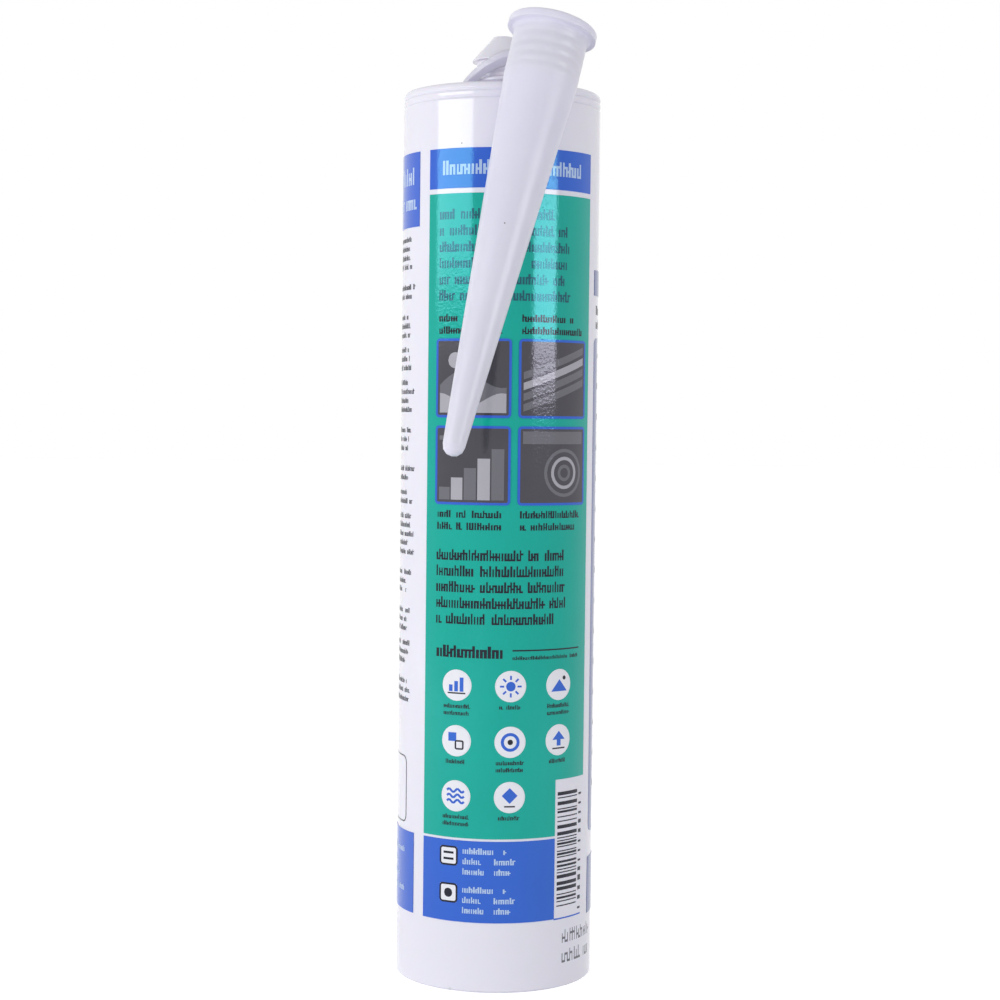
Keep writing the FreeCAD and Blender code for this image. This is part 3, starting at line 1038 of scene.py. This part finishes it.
# %% [markdown]
# ### Bands, squares and bar code
#
# The title band, the foot band and the two blocks of the left panel carry pale
# strokes. The white corner at the lower right has a plain pattern of bars laid
# flat, with widths from a seeded random draw.

# %% Print the pale rows and the white squares
pale = Print("pale_print", pale_ink, "white_ink")
pale.rows(arc(-34.5), arc(52.6), 197.7 * MM, 1, 3 * MM, 0.95 * MM, 3.4 * MM, 61, 1.0)
for top in (34.3 * MM, 24.9 * MM):
    pale.rows(arc(-18.0), arc(11.5), top, 3, 2.5 * MM, 0.55 * MM, 1.5 * MM, 62, 0.75)
pale.rows(arc(-95), arc(-58), 196.6 * MM, 1, 3 * MM, 1.3 * MM, 4.2 * MM, 64, 1.0)
pale.rows(arc(-95), arc(-58), 190.2 * MM, 1, 3 * MM, 1.0 * MM, 3.4 * MM, 65, 1.0)
pale.rows(arc(-150), arc(-60), 32.0 * MM, 4, 3.2 * MM, 0.55 * MM, 1.4 * MM, 66, 0.8)
pale.finish()

SQUARE_BASES = (21.7 * MM, 30.7 * MM)
SQUARE_HEIGHT = 4.3 * MM
squares = Print("square_print", white_ink, "white_ink")
for base in SQUARE_BASES:
    squares.block(arc(-32.2), arc(-21.8), base, base + SQUARE_HEIGHT)
squares.finish()

# %% Print a thin white rim round each disc
rims = Print("disc_rim_print", white_ink, "white_ink")
for row, middle in enumerate(DISC_ROWS):
    for column, centre in enumerate(DISC_COLUMNS):
        if (row, column) != (2, 2):
            rims.line(round_path(centre, middle, DISC_RADIUS + 0.1 * MM, 32), 0.34 * MM, closed=True)
rims.finish()

# %% Print the squares' figures and the bars
field_marks = Print("field_mark_print", black_ink, "dark_ink", ON_FIELD + 0.01 * MM)
for base in SQUARE_BASES:
    box = round_box(arc(-32.2), arc(-21.8), base, base + SQUARE_HEIGHT, 0.7 * MM)
    field_marks.line(box, 0.45 * MM, closed=True)
lower, upper = (base + SQUARE_HEIGHT / 2 for base in SQUARE_BASES)
field_marks.disc(arc(-27), lower, 1.1 * MM)
for shift in (-0.75 * MM, 0.75 * MM):
    field_marks.line(straight((arc(-30.2), upper + shift), (arc(-23.8), upper + shift)), 0.55 * MM)
field_marks.finish()

bar_code = Print("bar_print", black_ink, "dark_ink", ON_TUBE)
random.seed(14)
height = 19.9 * MM
while height < 48.6 * MM:
    thick = random.choice((0.28, 0.28, 0.55, 0.85)) * MM
    bar_code.block(arc(38.6), arc(55.6), height, height + thick)
    height += thick + random.choice((0.3, 0.45, 0.8)) * MM
for index in range(13):
    height = (18.2 + 2.35 * index) * MM
    bar_code.block(arc(57.2), arc(60.2), height, height + random.choice((0.5, 0.9, 1.3)) * MM)
bar_code.finish()

# %% [markdown]
# ### Side panels and the stamp
#
# The side panels are mostly out of view. They get the same kind of small
# print: dense rows of dark strokes on the left, and an outlined table with a
# few rows on the right. Near the foot is a dotted grey stamp.

# %% Print the side panels
LEFT_PANEL = (arc(-164.5), arc(-57.0))
side = Print("side_print", black_ink, "dark_ink", ON_TUBE)
random.seed(5)
top = 181.5 * MM
seed = 70
while top > 66 * MM:
    count = random.choice((2, 3, 4, 5))
    side.rows(*LEFT_PANEL, top, count, 2.2 * MM, 0.5 * MM, 1.3 * MM, seed, 0.9)
    top -= count * 2.2 * MM + random.choice((1.4, 2.8)) * MM
    seed += 1
side.line(round_box(arc(-163), arc(-64), 38.7 * MM, 54.9 * MM, 1.8 * MM), 0.35 * MM, closed=True)
side.rows(arc(76), arc(176), 165 * MM, 2, 3.4 * MM, 0.72 * MM, 2.3 * MM, 90, 0.6)
side.rows(arc(84), arc(176), 154 * MM, 15, 7.6 * MM, 0.55 * MM, 1.5 * MM, 91, 0.45)
side.finish()

table = Print("table_print", FIELD_INKS["violet_print"], "violet_ink", ON_TUBE)
table.line(round_box(arc(72.3), arc(182.6), 36.5 * MM, 157.8 * MM, 1.8 * MM), 0.7 * MM, closed=True)
table.block(arc(72.6), arc(81), 36.9 * MM, 157.4 * MM)
for index in range(1, 15):
    height = (157.8 - 7.6 * index) * MM
    table.line(straight((arc(80.6), height), (arc(181.7), height)), 0.18 * MM)
table.finish()

# %% Print the stamp and the thin rule
stamp = Print("stamp_print", mid_grey_ink, "dark_ink", ON_TUBE)
stamp.rows(arc(43.5), arc(74), 12.4 * MM, 2, 4.9 * MM, 0.95 * MM, 3.2 * MM, 95, 1.0, 0.3)
stamp.finish()

rule = Print("rule_print", blue_ink, "blue_ink", ON_TUBE)
rule.block(arc(36.6), arc(60.5), 16.75 * MM, 17.1 * MM)
rule.finish()

# %% [markdown]
# ## Light, floor and camera
#
# The lamps are two soft boxes, one on each side, whose bands run down the
# tube's upper half. A wide low lamp fills the left side and the foot, as a
# white table would, and makes no band of its own. A pale world fills the
# shadows. The level is plain: together they light a colour about as it is
# written. What the camera sees behind the object is white, by the world's
# strength for camera rays.

# %% Light the set
LAMP_DISTANCE = 0.6


def soft_box(name, first_angle, last_angle, low, high, radiance, tint):
    """Return a lamp that spans two angles and two heights, facing the tube."""
    turn = math.radians((first_angle + last_angle) / 2)
    light = bpy.data.lights.new(name, "AREA")
    light.shape = "RECTANGLE"
    light.size = 2 * LAMP_DISTANCE * math.tan(math.radians(last_angle - first_angle) / 2)
    light.size_y = high - low
    light.energy = radiance * math.pi * light.size * light.size_y
    light.color = tint
    lamp = bpy.data.objects.new(name, light)
    lamp.location = (
        LAMP_DISTANCE * math.sin(turn), -LAMP_DISTANCE * math.cos(turn), (low + high) / 2
    )
    lamp.rotation_euler = (math.pi / 2, 0.0, turn)
    bpy.context.scene.collection.objects.link(lamp)
    print(name, round(light.size, 3), "x", round(light.size_y, 3), "m,", round(light.energy, 2), "W")
    return lamp


soft_box("left_box", -78, -33.5, 0.203, 0.36, 4.5, (0.94, 0.97, 1.0))
soft_box("right_box", 38, 66, 0.16, 0.271, 7.4, (0.96, 0.97, 1.0))
low_fill = soft_box("low_fill", -105, -15, 0.0, 0.15, 2.25, (1.0, 1.0, 1.0))
low_fill.visible_glossy = False

# %% Set the world and the floor
FILL = 0.49
world = bpy.data.worlds.new("studio")
bpy.context.scene.world = world
world.use_nodes = True


def seen_directly(tree):
    """Return 1 for camera, mirror and glass rays, and 0 for light's own rays."""
    path = add_node(tree, "ShaderNodeLightPath")
    sharp = math_step(tree, "MAXIMUM", path.outputs["Is Glossy Ray"], path.outputs["Is Transmission Ray"])
    return math_step(tree, "MAXIMUM", path.outputs["Is Camera Ray"], sharp)


world_tree = world.node_tree
strength = rough_by(world_tree, seen_directly(world_tree), FILL, 1.0)
background = world_tree.nodes["Background"]
background.inputs["Color"].default_value = (1.0, 1.0, 1.0, 1.0)
world_tree.links.new(strength, background.inputs["Strength"])

floor_material, floor_tree, floor_shader = new_material("pale floor", (0.88, 0.88, 0.89), 0.8)
floor_shader.inputs["Emission Color"].default_value = (1.0, 1.0, 1.0, 1.0)
glow = math_step(floor_tree, "MULTIPLY", seen_directly(floor_tree), 0.54)
floor_tree.links.new(glow, floor_shader.inputs["Emission Strength"])


def make_floor(half):
    """Return a wide flat floor."""
    mesh = bpy.data.meshes.new("studio_floor")
    corners = [(-half, -half, 0), (half, -half, 0), (half, half, 0), (-half, half, 0)]
    mesh.from_pydata(corners, [], [(0, 1, 2, 3)])
    piece = bpy.data.objects.new("studio_floor", mesh)
    bpy.context.scene.collection.objects.link(piece)
    dress(piece, floor_material)


make_floor(6.0)

# %% Place the camera
CAMERA_PLACE = Vector((-0.00218, -0.5261, 0.1379))
CAMERA_YAW = math.radians(0.29)
CAMERA_PITCH = math.radians(-2.19)
CAMERA_ROLL = math.radians(0.635)
CAMERA_LENS = 75.9

ahead = Vector((
    math.sin(CAMERA_YAW) * math.cos(CAMERA_PITCH),
    math.cos(CAMERA_YAW) * math.cos(CAMERA_PITCH),
    math.sin(CAMERA_PITCH),
))
level = Vector((math.cos(CAMERA_YAW), -math.sin(CAMERA_YAW), 0.0))
above = level.cross(ahead)
right = level * math.cos(CAMERA_ROLL) + above * math.sin(CAMERA_ROLL)

camera_data = bpy.data.cameras.new("camera")
camera_data.lens = CAMERA_LENS
camera_data.sensor_width = 36.0
camera_data.clip_start = 0.01
camera = bpy.data.objects.new("camera", camera_data)
facing = Matrix((right, right.cross(ahead), -ahead)).transposed()
camera.matrix_world = Matrix.Translation(CAMERA_PLACE) @ facing.to_4x4()
bpy.context.scene.collection.objects.link(camera)
bpy.context.scene.camera = camera
bpy.context.scene.view_settings.view_transform = "Standard"
print("camera at", tuple(round(v, 4) for v in CAMERA_PLACE))
